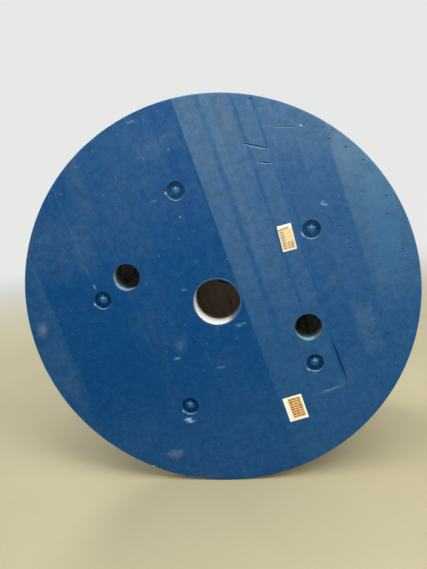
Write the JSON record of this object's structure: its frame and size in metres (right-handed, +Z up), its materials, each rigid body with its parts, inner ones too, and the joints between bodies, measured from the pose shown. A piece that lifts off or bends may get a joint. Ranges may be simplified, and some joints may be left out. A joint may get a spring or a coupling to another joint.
{
  "type": "wooden cable drum",
  "caption": "Empty wooden cable drum: painted round board flanges on a stave barrel, with a lined spindle hole, drive holes and sunk tie-rod nuts.",
  "frame": {"origin": "on the spindle axis, halfway between the two flanges", "axes": "Y along the spindle axis with the front flange towards -Y, +Z up as the drum stands, X to the right"},
  "size_m": [1.8, 1.0603, 1.7999],
  "materials": {
    "painted_boards": "gloss blue enamel",
    "bare_boards": "rough sawn",
    "stave_wood": "rough sawn",
    "white_pipe": "satin white",
    "painted_steel": "painted over blue",
    "rod_steel": "dull",
    "label_paper": "matt"
  },
  "bodies": {
    "root": {"front_outer_boards": "painted_boards", "front_inner_boards": "bare_boards", "front_barrel_disc": "bare_boards", "front_spindle_liner": "white_pipe", "front_washer_1": "painted_steel", "front_nut_1": "painted_steel", "front_washer_2": "painted_steel", "front_nut_2": "painted_steel", "front_washer_3": "painted_steel", "front_nut_3": "painted_steel", "front_washer_4": "painted_steel", "front_nut_4": "painted_steel", "front_washer_5": "painted_steel", "front_nut_5": "painted_steel", "back_outer_boards": "painted_boards", "back_inner_boards": "bare_boards", "back_barrel_disc": "bare_boards", "back_spindle_liner": "white_pipe", "back_washer_1": "painted_steel", "back_nut_1": "painted_steel", "back_washer_2": "painted_steel", "back_nut_2": "painted_steel", "back_washer_3": "painted_steel", "back_nut_3": "painted_steel", "back_washer_4": "painted_steel", "back_nut_4": "painted_steel", "back_washer_5": "painted_steel", "back_nut_5": "painted_steel", "barrel_staves": "stave_wood", "tie_rod_1": "rod_steel", "tie_rod_2": "rod_steel", "tie_rod_3": "rod_steel", "tie_rod_4": "rod_steel", "tie_rod_5": "rod_steel", "label_upper": "label_paper", "label_lower": "label_paper"}
  },
  "joints": []
}
